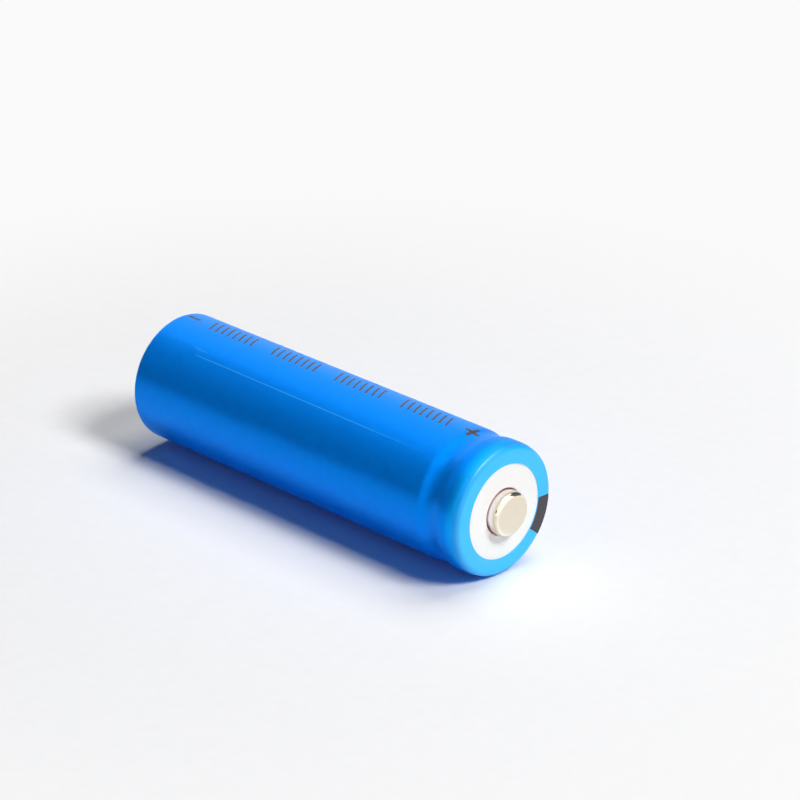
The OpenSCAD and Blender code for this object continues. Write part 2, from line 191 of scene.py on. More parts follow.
@dataclass(frozen=True)
class Finish:
    """A surface with two near colours, a range of gloss and fine marks.

    Attributes:
        name: common name of the material and how its surface was made.
        pale: colour where the marks are strongest.
        deep: colour between the marks.
        gloss: lowest and highest roughness.
        marks_mm: size of the marks; grain and lines too fine to show are drawn coarser than real ones.
        relief_mm: height of the marks.
        lay: how the marks lie.
        metallic: 1 on bare metal.
        ior: index of refraction of what is not metal.
        sheen: strength of the shine of what is not metal, 0.5 for a bare smooth surface.
        marked: marks of the mesh and the colours of the places that bear them.
    """

    name: str
    pale: str
    deep: str
    gloss: tuple[float, float]
    marks_mm: float
    relief_mm: float
    lay: Lay = Lay.EVEN
    metallic: float = 0.0
    ior: float = 1.5
    sheen: float = 0.5
    marked: tuple[tuple[Mark, str], ...] = ()

    def place(self, tree: Tree) -> Node:
        """Where a point lies in the pattern of marks.

        Args:
            tree: the material's tree.

        Returns:
            The node that gives the pattern's coordinates.
        """
        spot = add(tree, "ShaderNodeTexCoord").outputs["Object"]
        if self.lay is Lay.ROUND:
            split = add(tree, SPLIT, [spot]).outputs
            across = add(tree, COMBINE, {"Y": split["Y"], "Z": split["Z"]})
            radius = add(tree, VECTOR, [across], operation="LENGTH").outputs["Value"]
            spot = add(tree, COMBINE, [split["X"], radius, split["Z"]])
        return add(tree, "ShaderNodeMapping", {"Vector": spot, "Scale": self.lay.value})

    def marks(self, tree: Tree) -> Node:
        """Strength of the marks from 0 to 1.

        Args:
            tree: the material's tree.

        Returns:
            The node that gives the strength.
        """
        pattern = {"Vector": self.place(tree), "Scale": 1 / (self.marks_mm * MM), "Detail": MARK_DETAIL}
        grain = add(tree, "ShaderNodeTexNoise", pattern).outputs["Fac"]
        low, high = MARK_RANGE
        return add(tree, RANGE, {"Value": grain, FROM_LOW: low, FROM_HIGH: high})

    def shade(self, tree: Tree, surface: Node) -> None:
        """Links colour, gloss and relief to the shader.

        Args:
            tree: the material's tree.
            surface: the shader node.
        """
        marks = self.marks(tree)
        layers = [(marks, self.pale)]
        for mark, shade in self.marked:
            layers.append((add(tree, ATTRIBUTE, attribute_name=mark.value).outputs["Fac"], shade))
        colour = srgb(self.deep)
        for share, shade in layers:
            both = {"Factor": share, MIX_A: colour, MIX_B: srgb(shade)}
            colour = add(tree, MIX, both, data_type="RGBA").outputs[MIX_RESULT]
        smooth, rough = self.gloss
        feed(tree, surface, {
            "Base Color": colour,
            "Roughness": add(tree, RANGE, {"Value": marks, TO_LOW: smooth, TO_HIGH: rough}),
            "Normal": add(tree, "ShaderNodeBump", {"Height": marks, "Distance": self.relief_mm * MM}),
            "Metallic": self.metallic,
            "IOR": self.ior,
            "Specular IOR Level": self.sheen,
        })

    @cache
    def material(self) -> bpy.types.Material:
        """Makes the finish's material, once.

        Returns:
            The material with its nodes.
        """
        made = bpy.data.materials.new(self.name)
        made.use_nodes = True
        self.shade(made.node_tree, made.node_tree.nodes["Principled BSDF"])
        return made


@dataclass(frozen=True)
class FilmFinish(Finish):
    """Clear blue film that shows the bright steel under it, and is paler where white paper lies under it.

    Its own sheen is that of the film where it lies tight on steel.

    Attributes:
        mirror: share of the light that comes back from the steel.
        rim_mirror: that share at the crimped rim.
        rim_gloss: roughness at the crimped rim.
        paper_full: share of paper from which on no steel shows and the shine is that over paper.
        lip_sheen: sheen over the paper washer.
        tint: colour of the shine over steel; over paper it is white.
    """

    mirror: float = 0.5
    rim_mirror: float = 0.8
    rim_gloss: float = 0.36
    paper_full: float = 0.35
    lip_sheen: float = 0.7
    tint: str = "#40dcff"

    def shade(self, tree: Tree, surface: Node) -> None:
        """Links colour, gloss and relief to the shader, and the shine of the steel and the paper.

        Args:
            tree: the material's tree.
            surface: the shader node.
        """
        super().shade(tree, surface)
        rim, paper = (add(tree, ATTRIBUTE, attribute_name=mark.value).outputs["Fac"]
                      for mark in (Mark.AT_RIM, Mark.OVER_PAPER))
        steel = add(tree, RANGE, {"Value": rim, TO_LOW: self.mirror, TO_HIGH: self.rim_mirror})
        bare = add(tree, RANGE, {"Value": paper, FROM_HIGH: self.paper_full, TO_LOW: 1.0, TO_HIGH: 0.0})
        side_gloss = surface.inputs["Roughness"].links[0].from_socket
        sheen = add(tree, RANGE, {"Value": bare, TO_LOW: self.lip_sheen, TO_HIGH: self.sheen})
        tints = {"Factor": bare, MIX_A: srgb(WHITE), MIX_B: srgb(self.tint)}
        feed(tree, surface, {
            "Metallic": add(tree, MATH, [steel, bare], operation="MULTIPLY"),
            "Roughness": add(tree, RANGE, {"Value": rim, TO_LOW: side_gloss, TO_HIGH: self.rim_gloss}),
            "Specular IOR Level": sheen,
            "Specular Tint": add(tree, MIX, tints, data_type="RGBA").outputs[MIX_RESULT],
        })


@dataclass(frozen=True)
class GroundFinish(Finish):
    """Floor that lies in the lamps' light round the object and stays evenly pale in the picture further off.

    Attributes:
        middle: what the floor's light is centred on.
        lit: distance from there up to which the lamps light it.
        even: distance from which on it is evenly pale.
    """

    middle: Place = (0.0246, 0.0, 0.0)
    lit: float = 0.04
    even: float = 0.1

    def shade(self, tree: Tree, surface: Node) -> None:
        """Links colour, gloss and relief to the shader, and the even pale ground to the output.

        Args:
            tree: the material's tree.
            surface: the shader node.
        """
        super().shade(tree, surface)
        spot = add(tree, "ShaderNodeTexCoord").outputs["Object"]
        apart = add(tree, VECTOR, [spot, self.middle], operation="DISTANCE").outputs["Value"]
        limits = {"Value": apart, FROM_LOW: self.lit, FROM_HIGH: self.even}
        far = add(tree, RANGE, limits, interpolation_type="SMOOTHSTEP")
        seen = add(tree, "ShaderNodeLightPath").outputs["Is Camera Ray"]
        share = add(tree, MATH, [far, seen], operation="MULTIPLY")
        pale = add(tree, "ShaderNodeEmission", {"Color": srgb(self.deep)})
        both = add(tree, "ShaderNodeMixShader", [share, surface, pale])
        feed(tree, tree.nodes["Material Output"], {"Surface": both})


# Heat-shrunk vinyl: a smooth, deep blue that the bright can under it lights up, with a faint orange peel, a
# painted highlight along the crease, a paler blue painted on the rim for the light that falls there, and
# paler where white paper lies under it
FILM = FilmFinish("PVC film, heat-shrunk", pale="#008cff", deep="#0086fa", gloss=(0.29, 0.33), marks_mm=0.9,
                  relief_mm=0.002, ior=1.54, sheen=0.1,
                  marked=((Mark.CREASED, "#30a0ff"), (Mark.AT_RIM, "#089fff"), (Mark.OVER_PAPER, "#00bfff")))
# Ink-jet print: a soft dark grey, duller than the film it lies on
INK = Finish("pigment ink, ink-jet printed", pale="#423c42", deep="#342f34", gloss=(0.45, 0.6), marks_mm=0.18,
             relief_mm=0.002)
# Smooth coated paper: a clean white with faint fibres and hardly any shine
PAPER = Finish("coated paper, die-cut", pale="#f7f6f5", deep="#f3f2f1", gloss=(0.7, 0.85), marks_mm=0.25,
               relief_mm=0.002)
# Satin nickel plate: a warm grey metal whose even fine grain blurs reflections, with a painted highlight ring
# on its rolled edge, a tan band below it, a painted reflection of the white washer on its wall and a pinkish
# brown line at its foot
BUTTON = Finish("nickel plate, satin", pale="#f2e7d4", deep="#ece0cc", gloss=(0.08, 0.12), marks_mm=0.2,
                relief_mm=0.0003, metallic=1.0,
                marked=((Mark.ON_EDGE, "#fff4e0"), (Mark.ON_BEND, "#dfccab"),
                        (Mark.ON_WALL, "#efecee"), (Mark.AT_FOOT, "#efc2b0")))

FINISHES = {
    Slot.FILM: FILM,
    Slot.PAPER: PAPER,
    Slot.BUTTON: BUTTON,
    # Bright nickel plate on drawn steel: a clear grey mirror with faint lines round the axis
    Slot.STEEL: Finish("nickel plate on steel, drawn", pale="#d9d5cc", deep="#c3beb4", gloss=(0.18, 0.32),
                       marks_mm=0.12, relief_mm=0.001, lay=Lay.ROUND, metallic=1.0),
    # Rolled aluminium: a pale metal with fine lines in the rolling direction
    Slot.ALUMINIUM: Finish("aluminium, rolled", pale="#e0e2e5", deep="#cdd0d4", gloss=(0.25, 0.4),
                           marks_mm=0.1, relief_mm=0.001, lay=Lay.ALONG, metallic=1.0),
    # Natural polypropylene: milky and waxy, with the even texture of its mould
    Slot.GASKET: Finish("polypropylene, moulded", pale="#e6e5de", deep="#dad9d0", gloss=(0.4, 0.5),
                        marks_mm=0.25, relief_mm=0.003, ior=1.49),
    # Carbon-filled polymer: a dull near-black with a dry grain
    Slot.FUSE: Finish("polyethylene, carbon-filled", pale="#3a3a3a", deep="#292929", gloss=(0.55, 0.7),
                      marks_mm=0.12, relief_mm=0.003),
    # Glass-fibre board: a pale green-grey with its fibres showing
    Slot.BOARD: Finish("glass-fibre board, punched", pale="#d6dcc9", deep="#bcc4ae", gloss=(0.5, 0.65),
                       marks_mm=0.3, relief_mm=0.004, lay=Lay.FIBRES, ior=1.55),
    # Oxide coating on foil: a flat blue-black, pressed smooth by rollers
    Slot.CATHODE: Finish("lithium oxide coating, calendered", pale="#34343a", deep="#222226",
                         gloss=(0.5, 0.6), marks_mm=0.15, relief_mm=0.001),
    # Graphite coating on foil: a dark grey with a soft pencil sheen
    Slot.ANODE: Finish("graphite coating, calendered", pale="#55555a", deep="#424246", gloss=(0.38, 0.5),
                       marks_mm=0.15, relief_mm=0.001),
    # Microporous film: a white, silky sheet with lines in the stretching direction
    Slot.SEPARATOR: Finish("polyethylene film, stretched", pale="#f2f2ef", deep="#e6e6e2", gloss=(0.45, 0.6),
                           marks_mm=0.2, relief_mm=0.001, lay=Lay.ALONG),
    # Rolled nickel strip: a warm grey metal with fine lines along the strip
    Slot.STRIP: Finish("nickel strip, rolled", pale="#d2cdc2", deep="#bdb7aa", gloss=(0.25, 0.4),
                       marks_mm=0.1, relief_mm=0.001, lay=Lay.ALONG, metallic=1.0),
    # Polyimide tape: a clear amber film with a smooth shine
    Slot.AMBER: Finish("polyimide tape, cast", pale="#d08a28", deep="#b87414", gloss=(0.2, 0.3), marks_mm=0.6,
                       relief_mm=0.001, ior=1.7),
    # Polyester tape: a smooth green film with a slight wrinkle
    Slot.GREEN: Finish("polyester tape, coloured", pale="#6fbf7d", deep="#57a868", gloss=(0.22, 0.32),
                       marks_mm=0.8, relief_mm=0.002, ior=1.6),
}


@dataclass(frozen=True)
class Corner:
    """Corner of a pressed sheet's face.

    Attributes:
        r: distance from the axis.
        x: place along the axis.
        bend: radius of the bend there.
    """

    r: float
    x: float
    bend: float = 0.0


# Turn from point to point of a bend, and the angle from which on an edge between faces is sharp
ARC_STEP = math.radians(4)
SHARP_EDGE = math.radians(35)


def left(way: Vector) -> Vector:
    """The direction a quarter turn to the left in the plane of radius and axis."""
    return Vector((-way.y, way.x))


def sheet(corners: Sequence[Corner], thickness: float) -> list[Point]:
    """Outline of a bent sheet, with round bends.

    Args:
        corners: the outer face; the sheet's thickness lies to its left.
        thickness: of the sheet.

    Returns:
        Radius and place along the axis of each point, outer face first.
    """
    path = [Vector((c.r, c.x)) for c in corners]
    ways = [(b - a).normalized() for a, b in zip(path, path[1:])]
    face = [(path[0], left(ways[0]))]
    for corner, point, way, onward in zip(corners[1:], path[1:], ways, ways[1:]):
        turn = math.atan2(way.cross(onward), way.dot(onward))
        side = math.copysign(corner.bend, turn)
        hub = point - way * (corner.bend * math.tan(abs(turn) / 2)) + left(way) * side
        steps = max(2, math.ceil(abs(turn) / ARC_STEP))
        for k in range(steps + 1):
            normal = Matrix.Rotation(turn * k / steps, 2) @ left(way)
            face.append((hub - normal * side, normal))
    face.append((path[-1], left(ways[-1])))
    points = [p for p, _ in face] + [p + n * thickness for p, n in reversed(face)]
    apart = [p for p, before in zip(points, [points[-1], *points]) if (p - before).length > SAME]
    return [(p.x, p.y) for p in apart]


def divided(outline: Sequence[Point], longest: float) -> list[Point]:
    """Adds points to the long straight stretches of an outline.

    Args:
        outline: points of a closed outline.
        longest: the longest stretch that stays as it is.

    Returns:
        The outline with the added points.
    """
    finer = []
    for (r, x), (r_next, x_next) in zip(outline, [*outline[1:], outline[0]]):
        parts = max(1, math.ceil(math.hypot(r_next - r, x_next - x) / longest))
        finer.extend((r + (r_next - r) * k / parts, x + (x_next - x) * k / parts) for k in range(parts))
    return finer


def even_turn(parts: int) -> list[float]:
    """Angles that share a whole turn evenly."""
    return [math.tau * j / parts for j in range(parts)]


def placed(name: str, data: bpy.types.ID) -> Piece:
    """Adds an object with its data to the scene.

    Args:
        name: the object's name.
        data: its mesh, lamp or camera.

    Returns:
        The new object.
    """
    made = bpy.data.objects.new(name, data)
    bpy.context.scene.collection.objects.link(made)
    return made


def faced(name: str, spots: Sequence[Place], faces: Sequence[Sequence[int]]) -> Piece:
    """Makes a mesh from its faces.

    Args:
        name: the object's name.
        spots: its corners.
        faces: the numbers of the corners of each face.

    Returns:
        The new object.
    """
    mesh = bpy.data.meshes.new(name)
    mesh.from_pydata(spots, [], faces)
    return placed(name, mesh)


def turned(name: str, outline: Sequence[Point], angles: Sequence[float], whole: bool = True,
           lift: Callable[[float, float, float], float] | None = None) -> Piece:
    """Makes a closed body by turning an outline about the cell's axis.

    Args:
        name: the object's name.
        outline: points of radius and place along the axis, with the solid to the left.
        angles: places round the axis.
        whole: whether the angles close the turn; if not, both ends are closed.
        lift: what is added to the radius at a radius, place and angle.

    Returns:
        The new object, with smooth faces and sharp cut edges.
    """
    spots, rows = [], []
    for r, x in outline:
        if r < NEAR:
            rows.append([len(spots)] * len(angles))
            spots.append((x, 0.0, 0.0))
            continue
        rows.append(list(range(len(spots), len(spots) + len(angles))))
        for a in angles:
            reach = r + (lift(r, x, a) if lift else 0.0)
            spots.append((x, reach * math.cos(a), reach * math.sin(a)))
    columns = [(j, j + 1) for j in range(len(angles) - 1)]
    if whole:
        columns.append((len(angles) - 1, 0))
    pairs = list(zip(rows, [*rows[1:], rows[0]]))
    corners = [(low[j], low[k], high[k], high[j]) for low, high in pairs for j, k in columns]
    faces = [face for face in (tuple(dict.fromkeys(c)) for c in corners) if len(face) > 2]
    if not whole:
        faces.append(tuple(row[0] for row in rows))
        faces.append(tuple(row[-1] for row in reversed(rows)))
    made = faced(name, spots, faces)
    made.data.shade_smooth()
    made.data.set_sharp_from_angle(angle=SHARP_EDGE)
    return made


def shaped_by(made: Piece, tree: Tree, sizes: dict[str, object]) -> None:
    """Runs a geometry tree on an object and keeps the result as its plain mesh.

    Args:
        made: the object.
        tree: the geometry tree.
        sizes: the tree's inputs by name.
    """
    modifier = made.modifiers.new(tree.name, "NODES")
    modifier.node_group = tree
    for item in tree.interface.items_tree:
        if item.in_out == "INPUT" and item.name in sizes:
            modifier[item.identifier] = sizes[item.name]
    graph = bpy.context.evaluated_depsgraph_get()
    shaped = made.evaluated_get(graph)
    plain = bpy.data.meshes.new_from_object(shaped, preserve_all_data_layers=True, depsgraph=graph)
    made.modifiers.clear()
    made.data = plain
    plain.name = made.name


def new_tree(name: str, sizes: Iterable[tuple[str, str]], takes_mesh: bool) -> Tree:
    """Starts a geometry tree with its inputs and its output.

    Args:
        name: the tree's name.
        sizes: name and kind of each input.
        takes_mesh: whether the tree works on the object's own mesh.

    Returns:
        The tree, still without nodes.
    """
    tree = bpy.data.node_groups.new(name, "GeometryNodeTree")
    tree.interface.new_socket("Geometry", in_out="OUTPUT", socket_type="NodeSocketGeometry")
    if takes_mesh:
        tree.interface.new_socket("Geometry", in_out="INPUT", socket_type="NodeSocketGeometry")
    for label, kind in sizes:
        tree.interface.new_socket(label, in_out="INPUT", socket_type=f"NodeSocket{kind}")
    return tree


def seated(made: Piece, finish: Finish, *nodes: str, slot: Slot | None = None) -> Piece:
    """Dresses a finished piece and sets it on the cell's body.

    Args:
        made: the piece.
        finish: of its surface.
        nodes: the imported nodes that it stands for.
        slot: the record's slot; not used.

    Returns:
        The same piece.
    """
    made.data.materials.clear()
    made.data.materials.append(finish.material())
    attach(made, BODY)
    if nodes:
        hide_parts(*nodes)
    log.info("%s: %d faces, %s", made.name, len(made.data.polygons), finish.name)
    return made


def noted(made: Piece, mark: Mark, shares: Iterable[float]) -> None:
    """Notes on each point of a mesh how strongly it bears a mark, from 0 to 1.

    Args:
        made: the object with the mesh.
        mark: the mark.
        shares: the strength at each point; what lies beyond 0 and 1 is cut off.
    """
    within = [min(1.0, max(0.0, share)) for share in shares]
    made.data.attributes.new(mark.value, "FLOAT", "POINT").data.foreach_set("value", within)


def section(node: str) -> list[Point]:
    """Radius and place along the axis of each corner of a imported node."""
    return [(math.hypot(v.co.y, v.co.z), v.co.x) for v in frame["nodes"][node].data.vertices]


@dataclass(frozen=True)
class FilmShape:
    """Round shape of the shrunk film.

    Attributes:
        radius: of the outer side.
        end: place of the fold at the positive end.
        thickness: of the film.
        top_hole: radius of the cut edge at the positive end.
        base_hole: radius of the cut edge at the negative end.
        head: length over which the head draws in.
        base_bend: rounding at the negative end.
        groove: place of the groove's middle.
        groove_half: half of the groove's width.
        groove_dip: depth of the groove.
        shoulder_bend: rounding of the groove's two shoulders.
        crown_bend: rounding where the head starts to draw in.
        taper: angle to which it draws in before its edge.
    """

    radius: float
    end: float
    thickness: float
    top_hole: float
    base_hole: float
    head: float
    base_bend: float
    groove: float
    groove_half: float
    groove_dip: float
    shoulder_bend: float = 2.5 * MM
    crown_bend: float = 2.6 * MM
    taper: float = math.radians(20)

    @classmethod
    def packed(cls) -> "FilmShape":
        """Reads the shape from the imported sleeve.

        Returns:
            The film's sizes.
        """
        points = section("shrink_sleeve")
        radius = max(r for r, _ in points)
        end = max(x for _, x in points)
        top_hole = min(r for r, x in points if x > end - NEAR)
        base_hole = min(r for r, x in points if x < NEAR)
        cut = [x for r, x in points if abs(r - top_hole) < NEAR and x > end / 2]
        thickness = end - min(cut)
        side = [x for r, x in points if r > radius - NEAR]
        # The groove is the lowest place of the side, away from the folded ends
        fold = 2 * MM
        lowest, groove = min((r, x) for r, x in points if r > radius - fold and fold < x < end - fold)
        half = groove - max(x for x in side if x < groove)
        return cls(radius, end, thickness, top_hole, base_hole, end - max(side), min(side), groove, half,
                   radius - thickness - lowest)

    def corners(self) -> list[Corner]:
        """Corners of the film's outer face, from the negative end to the positive.

        Returns:
            The corners with their bends.
        """
        slope = 2 * math.atan(self.groove_dip / self.groove_half)
        span_bend = self.groove_half / math.sin(slope) - self.shoulder_bend
        shoulder = self.groove_half - self.shoulder_bend * math.tan(slope / 2)
        valley = self.radius - self.groove_dip - span_bend * (1 / math.cos(slope) - 1)
        turn_in = self.crown_bend * math.tan(self.taper / 2)
        run = (self.head - turn_in) / math.cos(self.taper)
        edge_bend = (run - turn_in) / math.tan((math.pi / 2 - self.taper) / 2)
        return [
            Corner(self.base_hole, 0.0),
            Corner(self.radius, 0.0, self.base_bend),
            Corner(self.radius, self.groove - shoulder, self.shoulder_bend),
            Corner(valley, self.groove, span_bend),
            Corner(self.radius, self.groove + shoulder, self.shoulder_bend),
            Corner(self.radius, self.end - self.head + turn_in, self.crown_bend),
            Corner(self.radius - run * math.sin(self.taper), self.end, edge_bend),
            Corner(self.top_hole, self.end),
        ]


@dataclass(frozen=True)
class Spot:
    """A place on the film's side.

    Attributes:
        x: place along the axis.
        angle: place round the axis.
    """

    x: float
    angle: float


@dataclass(frozen=True)
class Sleeve:
    """The shrunk film with the crease where the tube was laid flat.

    Attributes:
        shape: the film's round shape.
        crease: the crease's two ends; it fades out towards the first.
        tuck: the two ends of the short fold beside the crease.
        crease_fade: length over which the crease fades out.
        crease_width: half of the width of both.
        crease_height: how far they stand up.
        wave: how far the cut edges and the groove leave a true circle.
        wave_reach: distance from a cut edge over which its waves die out.
        cut_waves: how close together the waves of the cut edges lie.
        groove_waves: how close together those of the groove lie.
        paper_fade: distance past the washer's edge over which the film's pale colour fades out.
        rim_lead: length before the drawn-in head over which the film takes on the look of the rim, with its
            paler painted colour for the light that falls there.
        longest: longest stretch between the mesh's points along the axis.
    """

    shape: FilmShape
    crease: tuple[Spot, Spot] = (Spot(41.2 * MM, math.radians(127.5)), Spot(7.4 * MM, math.radians(125.6)))
    tuck: tuple[Spot, Spot] = (Spot(8.2 * MM, math.radians(120.1)), Spot(6.2 * MM, math.radians(119.0)))
    crease_fade: float = 9 * MM
    crease_width: float = 0.07 * MM
    crease_height: float = 0.02 * MM
    wave: float = 0.025 * MM
    wave_reach: float = 1 * MM
    cut_waves: float = 1.7
    groove_waves: float = 2.3
    paper_fade: float = 0.75 * MM
    rim_lead: float = 0.5 * MM
    longest: float = 0.9 * MM

    def angles(self, parts: int = 320, crowd: float = 0.82) -> list[float]:
        """Places round the axis, closer together near the crease.

        Args:
            parts: number of places.
            crowd: how much closer they are at the crease, from 0 to 1.

        Returns:
            The angles.
        """
        middle = (self.crease[0].angle + self.tuck[1].angle) / 2
        return [a + middle - crowd * math.sin(a) for a in even_turn(parts)]

    def ripple(self, r: float, x: float, angle: float) -> float:
        """How far the film leaves its round shape, at the cut edges and in the groove.

        Args:
            r: radius of the round shape.
            x: place along the axis.
            angle: place round the axis.

        Returns:
            What is added to the radius.
        """
        shape = self.shape
        about = Vector((math.cos(angle), math.sin(angle), round(x / shape.end)))
        if r < shape.radius - self.wave_reach:
            hole = shape.top_hole if x > shape.groove else shape.base_hole
            share = max(0.0, 1 - (r - hole) / self.wave_reach)
            return self.wave * share * noise.noise(about * self.cut_waves)
        apart = abs(x - shape.groove) / shape.groove_half
        return self.wave * max(0.0, 1 - apart ** 2) ** 2 * noise.noise(about * self.groove_waves)

    def crease_tree(self) -> Tree:
        """Tree that raises the film along the crease and along the short fold beside it, and notes where a
        paler highlight is painted along them.

        Returns:
            The geometry tree.
        """
        ends = [(name, "Vector") for name in ("Crease From", "Crease To", "Tuck From", "Tuck To")]
        sizes = [(name, "Float") for name in ("Width", "Height", "Fade")]
        tree = new_tree("lay-flat crease", [*ends, *sizes], takes_mesh=True)
        given = add(tree, "NodeGroupInput").outputs
        lines = add(tree, "GeometryNodeJoinGeometry")
        for name in ("Crease", "Tuck"):
            line = {"Start": given[f"{name} From"], "End": given[f"{name} To"]}
            path = add(tree, "GeometryNodeCurvePrimitiveLine", line)
            feed(tree, lines, [add(tree, "GeometryNodeCurveToMesh", [path])])
        apart = add(tree, "GeometryNodeProximity", [lines], target_element="EDGES").outputs["Distance"]
        share = add(tree, MATH, [apart, given["Width"]], operation="DIVIDE")
        square = add(tree, MATH, [share, 2.0], operation="POWER")
        minus = add(tree, MATH, [square, -1.0], operation="MULTIPLY")
        slope = add(tree, MATH, [minus], operation="EXPONENT")
        spot = add(tree, "GeometryNodeInputPosition")
        before = add(tree, VECTOR, [given["Crease From"], spot], operation="SUBTRACT")
        along = add(tree, SPLIT, [before]).outputs["X"]
        fade = add(tree, MATH, [along, given["Fade"]], operation="DIVIDE", use_clamp=True)
        fall = add(tree, MATH, [slope, fade], operation="MULTIPLY")
        height = add(tree, MATH, [fall, given["Height"]], operation="MULTIPLY")
        normal = add(tree, "GeometryNodeInputNormal")
        push = add(tree, VECTOR, {0: normal, "Scale": height}, operation="SCALE")
        # The crease's share is also noted for painting a paler highlight along the crease
        mark = {"Geometry": given["Geometry"], "Name": Mark.CREASED.value, "Value": fall}
        marked = add(tree, "GeometryNodeStoreNamedAttribute", mark)
        moved = add(tree, "GeometryNodeSetPosition", {"Geometry": marked, "Offset": push})
        whole = add(tree, "GeometryNodeRealizeInstances", [moved])
        dressed = add(tree, "GeometryNodeSetMaterial", {0: whole, "Material": FILM.material()})
        add(tree, "NodeGroupOutput", [dressed])
        return tree

    def on_side(self, spot: Spot) -> Vector:
        """The point of a place on the film's side."""
        radius = self.shape.radius
        return Vector((spot.x, radius * math.cos(spot.angle), radius * math.sin(spot.angle)))

    def build(self) -> Piece:
        """Makes the film's mesh.

        Returns:
            The film, still without its finish.
        """
        outline = divided(sheet(self.shape.corners(), self.shape.thickness), self.longest)
        made = turned("film_sleeve", outline, self.angles(), lift=self.ripple)
        shaped_by(made, self.crease_tree(), {
            "Crease From": self.on_side(self.crease[0]),
            "Crease To": self.on_side(self.crease[1]),
            "Tuck From": self.on_side(self.tuck[0]),
            "Tuck To": self.on_side(self.tuck[1]),
            "Width": self.crease_width,
            "Height": self.crease_height,
            "Fade": self.crease_fade,
        })
        return made

    def mark(self, made: Piece, washer_radius: float) -> None:
        """Notes on each point of the film whether it lies at the rim and over the washer.

        Args:
            made: the film.
            washer_radius: radius of the paper washer.
        """
        start = self.shape.end - self.shape.head
        edge = washer_radius + self.paper_fade
        spots = [vertex.co for vertex in made.data.vertices]
        # The rim's share also paints the film a paler blue, standing in for the light that falls on the rim
        noted(made, Mark.AT_RIM, [1 + (x - start) / self.rim_lead for x, _, _ in spots])
        paper = [(edge - math.hypot(y, z)) / self.paper_fade * (x > start) for x, y, z in spots]
        noted(made, Mark.OVER_PAPER, paper)

    def dress(self, washer_radius: float) -> Piece:
        """Builds the film and gives it its finish.

        Args:
            washer_radius: radius of the paper washer.

        Returns:
            The finished film.
        """
        made = self.build()
        self.mark(made, washer_radius)
        return seated(made, FILM, "shrink_sleeve", slot=Slot.FILM)


@dataclass(frozen=True)
class InkRow:
    """A row of straight ink strokes with round ends, printed along the film.

    Attributes:
        name: the piece's name.
        start: place of the first stroke along the axis.
        angle: place of the row round the axis.
        length: of a stroke.
        width: of a stroke.
        lean: angle of a stroke from the direction round the axis.
        count: number of strokes.
        pitch: distance between strokes.
        group: number of strokes that stand together.
        gap: what is added between groups.
        crossed: whether a second stroke crosses each one.
    """

    name: str
    start: float
    angle: float
    length: float
    width: float
    lean: float = 0.0
    count: int = 1
    pitch: float = 0.0
    group: int = 1
    gap: float = 0.0
    crossed: bool = False


